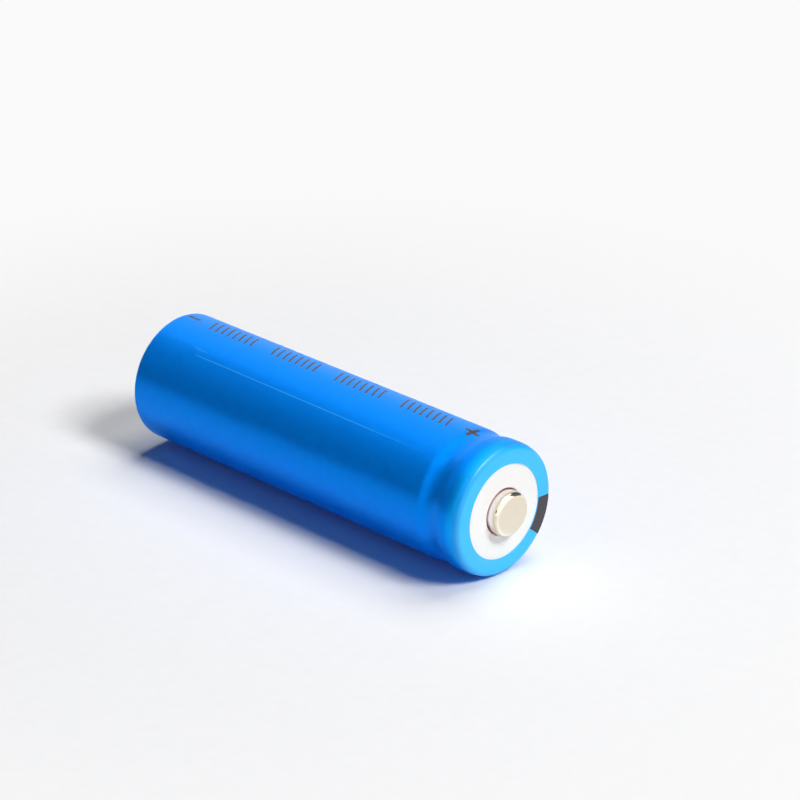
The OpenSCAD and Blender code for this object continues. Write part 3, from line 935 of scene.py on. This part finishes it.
@dataclass(frozen=True)
class Print:
    """The ink on the film: polarity signs, a plain row of strokes between them, and a bar on the fold.

    Attributes:
        sleeve: the film that the ink lies on.
        rows: the strokes on the film's side.
        thickness: of the ink.
        sway: how far a stroke in a row may turn from its lean.
        tip: share of its width that a stroke keeps at its ends.
        stroke_points: points along a stroke.
        stroke_cuts: points added across a stroke.
        seed: of the strokes' sway.
        bar_from: place round the axis where the edge mark starts.
        bar_to: place round the axis where it ends.
        bar_margin: distance of the edge mark inside the film's side.
        bar_steps: number of flat pieces of the edge mark.
    """

    sleeve: Sleeve
    rows: tuple[InkRow, ...] = (
        InkRow("plus_sign", start=42.95 * MM, angle=math.radians(85.3), length=1.9 * MM, width=0.42 * MM,
               crossed=True),
        InkRow("minus_sign", start=1.65 * MM, angle=math.radians(84.7), length=1.9 * MM, width=0.42 * MM,
               lean=math.radians(90)),
        InkRow("rating_strokes", start=4.6 * MM, angle=math.radians(84), length=2.6 * MM, width=0.26 * MM,
               lean=math.radians(-24), count=32, pitch=0.9 * MM, group=8, gap=2.37 * MM),
    )
    thickness: float = 0.008 * MM
    sway: float = math.radians(1.5)
    tip: float = 0.15
    stroke_points: int = 40
    stroke_cuts: int = 5
    seed: int = 7
    bar_from: float = math.radians(-40)
    bar_to: float = math.radians(-2)
    bar_margin: float = 0.46 * MM
    bar_steps: int = 48

    def stroke(self, tree: Tree, given: bpy.types.NodeOutputs) -> Node:
        """Adds one flat stroke to a tree.

        Args:
            tree: the geometry tree.
            given: its inputs.

        Returns:
            The node that gives the stroke's mesh, along Y about the origin.
        """
        half = add(tree, MATH, [given["Length"], 0.5], operation="MULTIPLY")
        minus = add(tree, MATH, [half, -1.0], operation="MULTIPLY")
        ends = {"Start": add(tree, COMBINE, {"Y": minus}), "End": add(tree, COMBINE, {"Y": half})}
        line = add(tree, "GeometryNodeCurvePrimitiveLine", ends)
        fine = add(tree, "GeometryNodeResampleCurve", {"Curve": line, "Count": self.stroke_points})
        along = add(tree, "GeometryNodeSplineParameter").outputs["Length"]
        onward = add(tree, MATH, [given["Length"], along], operation="SUBTRACT")
        inward = add(tree, MATH, [along, onward], operation="MINIMUM")
        radius = add(tree, MATH, [given["Width"], 0.5], operation="MULTIPLY")
        share = add(tree, MATH, [inward, radius], operation="DIVIDE", use_clamp=True)
        beyond = add(tree, MATH, [2.0, share], operation="SUBTRACT")
        product = add(tree, MATH, [share, beyond], operation="MULTIPLY")
        round_end = add(tree, MATH, [product], operation="SQRT")
        taper = add(tree, MATH, [round_end, self.tip], operation="MAXIMUM")
        flat = {"Width": given["Width"], "Height": given["Thickness"]}
        edge = add(tree, "GeometryNodeCurvePrimitiveQuadrilateral", flat)
        profile = add(tree, "GeometryNodeSubdivideCurve", {"Curve": edge, "Cuts": self.stroke_cuts})
        ribbon = {"Curve": fine, "Profile Curve": profile, "Scale": taper, "Fill Caps": True}
        return add(tree, "GeometryNodeCurveToMesh", ribbon)

    def laid_on(self, tree: Tree, given: bpy.types.NodeOutputs, flat: Node) -> Node:
        """Lays flat ink on the film: X stays, Y runs round the axis, and Z stands off the surface.

        Args:
            tree: the geometry tree.
            given: its inputs.
            flat: the node that gives the flat ink.

        Returns:
            The node that gives the ink on the film.
        """
        spot = add(tree, SPLIT, [add(tree, "GeometryNodeInputPosition")]).outputs
        turn = add(tree, MATH, [spot["Y"], given["Radius"]], operation="DIVIDE")
        angle = add(tree, MATH, [given["Angle"], turn], operation="ADD")
        cosine, sine = (add(tree, MATH, [angle], operation=name) for name in ("COSINE", "SINE"))
        outward = add(tree, COMBINE, {"Y": cosine, "Z": sine})
        far = add(tree, MATH, [given["Radius"], 2.0], operation="MULTIPLY")
        above = add(tree, VECTOR, {0: outward, "Scale": far}, operation="SCALE")
        beside = add(tree, COMBINE, {"X": spot["X"]})
        source = add(tree, VECTOR, [above, beside], operation="ADD")
        inward = add(tree, VECTOR, {0: outward, "Scale": -1.0}, operation="SCALE")
        film = add(tree, "GeometryNodeObjectInfo", {"Object": given["Film"]}).outputs["Geometry"]
        ray = {"Target Geometry": film, "Source Position": source, "Ray Direction": inward, "Ray Length": far}
        hit = add(tree, "GeometryNodeRaycast", ray).outputs["Hit Position"]
        stand = add(tree, VECTOR, {0: outward, "Scale": spot["Z"]}, operation="SCALE")
        place = add(tree, VECTOR, [hit, stand], operation="ADD")
        return add(tree, "GeometryNodeSetPosition", {"Geometry": flat, "Position": place})

    def tree(self) -> Tree:
        """Tree that prints a row of strokes on the film.

        Returns:
            The geometry tree.
        """
        kinds = {float: "Float", int: "Int", bool: "Bool"}
        own = [(field.name.title(), kinds[field.type]) for field in fields(InkRow) if field.type in kinds]
        sizes = [(name, "Float") for name in ("Radius", "Sway", "Thickness")]
        tree = new_tree("ink strokes on the film", [*own, *sizes, ("Seed", "Int"), ("Film", "Object")],
                        takes_mesh=False)
        given = add(tree, "NodeGroupInput").outputs
        single = self.stroke(tree, given)
        both = add(tree, "GeometryNodeJoinGeometry", [single])
        quarter = {"Geometry": single, "Rotation": (0.0, 0.0, math.pi / 2)}
        feed(tree, both, [add(tree, "GeometryNodeTransform", quarter)])
        choice = {"Switch": given["Crossed"], "False": single, "True": both}
        sign = add(tree, "GeometryNodeSwitch", choice, input_type="GEOMETRY")
        first, step = (add(tree, COMBINE, {"X": given[name]}) for name in ("Start", "Pitch"))
        line = {"Count": given["Count"], "Start Location": first, "Offset": step}
        spots = add(tree, "GeometryNodeMeshLine", line)
        part = add(tree, MATH, [add(tree, "GeometryNodeInputIndex"), given["Group"]], operation="DIVIDE")
        groups = add(tree, MATH, [part], operation="FLOOR")
        gaps = add(tree, MATH, [groups, given["Gap"]], operation="MULTIPLY")
        shift = add(tree, COMBINE, {"X": gaps})
        row = add(tree, "GeometryNodeSetPosition", {"Geometry": spots, "Offset": shift})
        minus = add(tree, MATH, [given["Sway"], -1.0], operation="MULTIPLY")
        swing = {RANDOM_LOW: minus, RANDOM_HIGH: given["Sway"], "Seed": given["Seed"]}
        chance = add(tree, "FunctionNodeRandomValue", swing, data_type="FLOAT").outputs[RANDOM_RESULT]
        turn = add(tree, MATH, [given["Lean"], chance], operation="ADD")
        spin = add(tree, COMBINE, {"Z": turn})
        strokes = {"Points": row, "Instance": sign, "Rotation": spin}
        copies = add(tree, "GeometryNodeInstanceOnPoints", strokes)
        whole = add(tree, "GeometryNodeRealizeInstances", [copies])
        laid = self.laid_on(tree, given, whole)
        dressed = add(tree, "GeometryNodeSetMaterial", {0: laid, "Material": INK.material()})
        add(tree, "NodeGroupOutput", [dressed])
        return tree

    def edge_bar(self) -> Piece:
        """Makes the dark edge mark on the fold at the positive end.

        Returns:
            The mark, still without its finish.
        """
        shape = self.sleeve.shape
        low, high = shape.end - self.thickness / 2, shape.end + self.thickness / 2
        inner, outer = shape.top_hole + 2 * self.thickness, shape.radius - self.bar_margin
        outline = [(inner, low), (outer, low), (outer, high), (inner, high)]
        swept = self.bar_to - self.bar_from
        angles = [self.bar_from + swept * k / self.bar_steps for k in range(self.bar_steps + 1)]
        return turned("edge_bar", outline, angles, whole=False)

    def dress(self, film: Piece) -> None:
        """Prints the rows on the film and the mark on its fold.

        Args:
            film: the finished film.
        """
        tree = self.tree()
        radius = self.sleeve.shape.radius
        shared = {"Radius": radius, "Thickness": self.thickness, "Seed": self.seed, "Film": film}
        for row in self.rows:
            made = placed(row.name, bpy.data.meshes.new(row.name))
            own = {name.title(): value for name, value in vars(row).items()}
            shaped_by(made, tree, {**own, **shared, "Sway": self.sway if row.count > 1 else 0.0})
            seated(made, INK)
        seated(self.edge_bar(), INK)


@dataclass(frozen=True)
class PositiveEnd:
    """The paper washer and the contact button at the positive end.

    Attributes:
        paper_edge: softness of the washer's cut edges.
        foot_bend: bend between the button's wall and its flange.
        edge_drop: depth of the painted highlight ring below the button's top.
        edge_half: half of that ring's height.
        bend_fade: height over which the colour of the rolled edge's lower side fades out.
        wall_fade: height below the rolled edge over which the painted reflection of the white washer on the
            wall comes up.
        foot_fade: depth below the washer over which the pinkish brown colour at the foot comes up.
        paper_stretch: longest stretch between the points of the washer's outline.
        metal_stretch: longest stretch between those of the button's outline.
        paper_parts: number of points round the washer.
        metal_parts: number of points round the button.
    """

    paper_edge: float = 0.04 * MM
    foot_bend: float = 0.12 * MM
    edge_drop: float = 0.12 * MM
    edge_half: float = 0.12 * MM
    bend_fade: float = 0.36 * MM
    wall_fade: float = 0.25 * MM
    foot_fade: float = 0.1 * MM
    paper_stretch: float = 0.5 * MM
    metal_stretch: float = 0.1 * MM
    paper_parts: int = 192
    metal_parts: int = 160

    @property
    def washer_radius(self) -> float:
        """Radius of the washer."""
        return max(r for r, _ in section("insulating_washer"))

    def washer(self) -> Piece:
        """Makes the paper washer with its soft cut edges.

        Returns:
            The washer, still without its finish.
        """
        points = section("insulating_washer")
        low, high = min(x for _, x in points), max(x for _, x in points)
        hole, edge, middle = min(r for r, _ in points), self.washer_radius, (low + high) / 2
        soft = self.paper_edge
        around = sheet([Corner(hole, middle), Corner(hole, low, soft), Corner(edge, low, soft),
                        Corner(edge, high, soft), Corner(hole, high, soft), Corner(hole, middle + NEAR)], 0.0)
        outline = around[:len(around) // 2]
        return turned("paper_washer", divided(outline, self.paper_stretch), even_turn(self.paper_parts))

    def button(self) -> Piece:
        """Makes the contact button as a pressed hat.

        Returns:
            The button, still without its finish.
        """
        points = section("positive_button")
        top = max(x for _, x in points)
        flange = max(r for r, _ in points)
        rim = [x for r, x in points if r > flange - NEAR]
        foot, thickness = max(rim), max(rim) - min(rim)
        wall = max(r for r, x in points if x > foot + self.foot_bend + NEAR)
        flat = max(r for r, x in points if x > top - NEAR)
        outline = sheet([Corner(flange, foot), Corner(wall, foot, self.foot_bend),
                         Corner(wall, top, wall - flat), Corner(0.0, top)], thickness)
        made = turned("contact_button", divided(outline, self.metal_stretch), even_turn(self.metal_parts))
        below = top - (wall - flat)
        cover = max(x for _, x in section("insulating_washer"))
        places = [vertex.co.x for vertex in made.data.vertices]
        # A pale ring painted on the rolled edge as its highlight
        noted(made, Mark.ON_EDGE, [1 - abs(x - top + self.edge_drop) / self.edge_half for x in places])
        noted(made, Mark.ON_BEND, [1 - (x - below) / self.bend_fade for x in places])
        # The wall painted paler as its reflection of the white washer
        noted(made, Mark.ON_WALL, [(below - x) / self.wall_fade for x in places])
        noted(made, Mark.AT_FOOT, [(cover - x) / self.foot_fade for x in places])
        return made

    def dress(self) -> None:
        """Builds both pieces and gives them their finishes."""
        seated(self.washer(), PAPER, "insulating_washer", slot=Slot.PAPER)
        seated(self.button(), BUTTON, "positive_button", slot=Slot.BUTTON)


@dataclass(frozen=True)
class InnerWorks:
    """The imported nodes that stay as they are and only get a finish.

    Attributes:
        slots: the material slot of each node.
    """

    slots: dict[str, Slot]

    def dress(self) -> None:
        """Gives every node that still shows the finish of its slot."""
        for name, node in frame["nodes"].items():
            if node.hide_render:
                continue
            finish = FINISHES[self.slots[name]]
            for place in node.material_slots:
                place.material = finish.material()
            log.info("%s: %s", name, finish.name)


@dataclass(frozen=True)
class Viewpoint:
    """Where the photograph was taken from.

    Attributes:
        place: the camera's place.
        azimuth: direction of view in degrees, 0 along +Y.
        elevation: height of view in degrees.
        roll: turn of the picture in degrees.
        lens: focal length in millimetres on the standard sensor.
        nearest: distance from which on it sees.
        farthest: distance up to which it sees.
    """

    place: Place = (0.24366, -0.21690, 0.14461)
    azimuth: float = 44.118
    elevation: float = 24.389
    roll: float = 0.247
    lens: float = 146.1
    nearest: float = 0.01
    farthest: float = 20.0

    def build(self) -> None:
        """Makes the camera."""
        a, e, t = map(math.radians, (self.azimuth, self.elevation, self.roll))
        right = Vector((math.cos(a), math.sin(a), 0.0))
        up = Vector((-math.sin(a) * math.sin(e), math.cos(a) * math.sin(e), math.cos(e)))
        back = Vector((math.sin(a) * math.cos(e), -math.cos(a) * math.cos(e), math.sin(e)))
        axes = (right * math.cos(t) + up * math.sin(t), up * math.cos(t) - right * math.sin(t), back)
        camera = placed("camera", bpy.data.cameras.new("camera"))
        camera.matrix_world = Matrix.Translation(self.place) @ Matrix(axes).transposed().to_4x4()
        camera.data.lens = self.lens
        camera.data.clip_start = self.nearest
        camera.data.clip_end = self.farthest
        bpy.context.scene.camera = camera


@dataclass(frozen=True)
class Softbox:
    """A square lamp with a soft edge to its shadows.

    Attributes:
        name: the lamp's name.
        place: its middle.
        width: of its side.
        power: in watts.
        aim: where it points, on the cell's axis.
        mirrored: whether glossy surfaces show it.
        lights: whether it lights what is not glossy.
    """

    name: str
    place: Place
    width: float
    power: float
    aim: Place = (0.045, 0.0, 0.0)
    mirrored: bool = True
    lights: bool = True

    def build(self) -> None:
        """Makes the lamp."""
        light = bpy.data.lights.new(self.name, "AREA")
        light.size = self.width
        light.energy = self.power
        lamp = placed(self.name, light)
        way = Vector(self.aim) - Vector(self.place)
        lamp.matrix_world = Matrix.Translation(self.place) @ way.to_track_quat("-Z", "Y").to_matrix().to_4x4()
        lamp.visible_camera = False
        lamp.visible_glossy = self.mirrored
        lamp.visible_diffuse = self.lights


@dataclass(frozen=True)
class Card:
    """A dark curved card that faces the cell and shows only in what mirrors it.

    Attributes:
        name: the card's name.
        start: direction of one end from the cell, in degrees.
        stop: direction of the other end.
        height: from its lower to its upper edge.
        foot_grey: brightness of its lower edge.
        top_grey: brightness of its upper edge.
        end_grey: brightness of its second end.
        fade: angle before that end over which it takes on that brightness, in degrees.
        lift: height of its lower edge above the floor.
        distance: from the cell.
        steps: number of flat pieces.
        gloss: roughness of its surface.
    """

    name: str
    start: float
    stop: float
    height: float
    foot_grey: float
    top_grey: float
    end_grey: float = 0.0
    fade: float = 0.0
    lift: float = 0.0
    distance: float = 0.42
    steps: int = 24
    gloss: float = 0.9


# Seamless white paper: an even white ground with a faint tooth
GROUND = GroundFinish("white paper, seamless", pale="#fdfdfe", deep="#fafafb", gloss=(0.9, 0.95),
                      marks_mm=1.5, relief_mm=0.002, sheen=0.0)


@dataclass(frozen=True)
class Studio:
    """Pale floor, soft light, and dark cards whose mirror images give film and button their deep tones.

    Attributes:
        lamps: the softboxes.
        cards: the dark cards.
        floor_half: half of the floor's side.
        ambient: strength of the light from all round.
        backdrop: brightness of what is seen or mirrored beyond the floor.
    """

    lamps: tuple[Softbox, ...] = (
        Softbox("end softbox", place=(0.883, 0.136, 0.968), width=0.42, power=11.7, mirrored=False),
        Softbox("top softbox", place=(0.28, 0.0, 0.58), width=0.4, power=2.4, lights=False),
        Softbox("overhead softbox", place=(0.03, 0.58, 1.3), width=0.9, power=9.8, aim=(0.02, 0.0, 0.0),
                mirrored=False),
        Softbox("low fill", place=(1.026, -0.687, 0.084), width=0.16, power=1.2, mirrored=False),
    )
    cards: tuple[Card, ...] = (
        Card("front_card", start=178, stop=259, height=0.54, foot_grey=0.14, top_grey=0.5, end_grey=0.8,
             fade=12),
        Card("side_card", start=267, stop=290, height=0.12, foot_grey=0.04, top_grey=0.06, lift=0.095,
             distance=0.41),
        Card("back_card", start=40, stop=112, height=0.46, foot_grey=0.2, top_grey=0.22, lift=0.02),
    )
    floor_half: float = 4.0
    ambient: float = 0.03
    backdrop: float = 1.35

    def panel(self, name: str, spots: Sequence[Place], faces: Sequence[Sequence[int]],
              material: bpy.types.Material) -> Piece:
        """Makes a thin panel that belongs to the studio.

        Args:
            name: the panel's name.
            spots: its corners.
            faces: the numbers of the corners of each face.
            material: of its surface.

        Returns:
            The panel.
        """
        made = faced(name, spots, faces)
        made.data.materials.append(material)
        return made

    def hang(self, card: Card, floor: float) -> None:
        """Puts up a card that is dark below and paler towards its top, for glossy surfaces only.

        Args:
            card: its size and place.
            floor: height of the floor.
        """
        # Sprayed black card: a flat dark face without shine, shaded by the greys of its corners
        finish = bpy.data.materials.new("black card, sprayed")
        finish.use_nodes = True
        tree = finish.node_tree
        grey = add(tree, ATTRIBUTE, attribute_name=Mark.CARD_GREY.value).outputs["Fac"]
        feed(tree, tree.nodes["Principled BSDF"], {"Base Color": grey, "Roughness": card.gloss})
        foot = floor + card.lift
        turns = [card.start + (card.stop - card.start) * k / card.steps for k in range(card.steps + 1)]
        ways = [(math.cos(a) * card.distance, math.sin(a) * card.distance) for a in map(math.radians, turns)]
        spots = [(x, y, height) for height in (foot, foot + card.height) for x, y in ways]
        row = len(ways)
        faces = [(k, k + 1, k + 1 + row, k + row) for k in range(card.steps)]
        made = self.panel(card.name, spots, faces, finish)
        made.visible_camera = made.visible_diffuse = made.visible_shadow = False
        pale = [max(0.0, 1 - (card.stop - turn) / card.fade) if card.fade else 0.0 for turn in turns]
        greys = (card.foot_grey, card.top_grey)
        shades = [grey + (card.end_grey - grey) * share for grey in greys for share in pale]
        noted(made, Mark.CARD_GREY, shades)

    def world(self) -> None:
        """Sets soft light from all round, and a pale backdrop for what is seen or mirrored."""
        world = bpy.data.worlds.new("studio")
        world.use_nodes = True
        bpy.context.scene.world = world
        tree = world.node_tree
        tree.nodes.clear()
        path = add(tree, "ShaderNodeLightPath").outputs
        seen = path["Is Camera Ray"]
        for kind in ("Is Glossy Ray", "Is Transmission Ray"):
            seen = add(tree, MATH, [seen, path[kind]], operation="MAXIMUM")
        light, ground = (add(tree, "ShaderNodeBackground", {"Color": srgb(WHITE), "Strength": strength})
                         for strength in (self.ambient, self.backdrop))
        mixed = add(tree, "ShaderNodeMixShader", [seen, light, ground])
        add(tree, "ShaderNodeOutputWorld", {"Surface": mixed})

    def build(self, floor: float) -> None:
        """Makes the floor, the cards, the lamps and the light all round.

        Args:
            floor: height of the floor.
        """
        half = self.floor_half
        corners = [(x * half, y * half, floor) for x, y in ((-1, -1), (1, -1), (1, 1), (-1, 1))]
        self.panel("floor", corners, [(0, 1, 2, 3)], GROUND.material())
        for card in self.cards:
            self.hang(card, floor)
        for lamp in self.lamps:
            lamp.build()
        self.world()
        bpy.context.scene.view_settings.view_transform = "Standard"


def main() -> None:
    """Builds the cell's looks piece by piece, then the studio and the camera."""
    logging.basicConfig(level=logging.INFO, format="%(name)s: %(message)s")
    end = PositiveEnd()
    sleeve = Sleeve(FilmShape.packed())
    film = sleeve.dress(end.washer_radius)
    Print(sleeve).dress(film)
    end.dress()
    InnerWorks({part["node"]: Slot(part["material_slot"]) for part in frame["record"]["subparts"]}).dress()
    Studio().build(cad_box[0].z)
    Viewpoint().build()


if __name__ == "__main__":
    main()
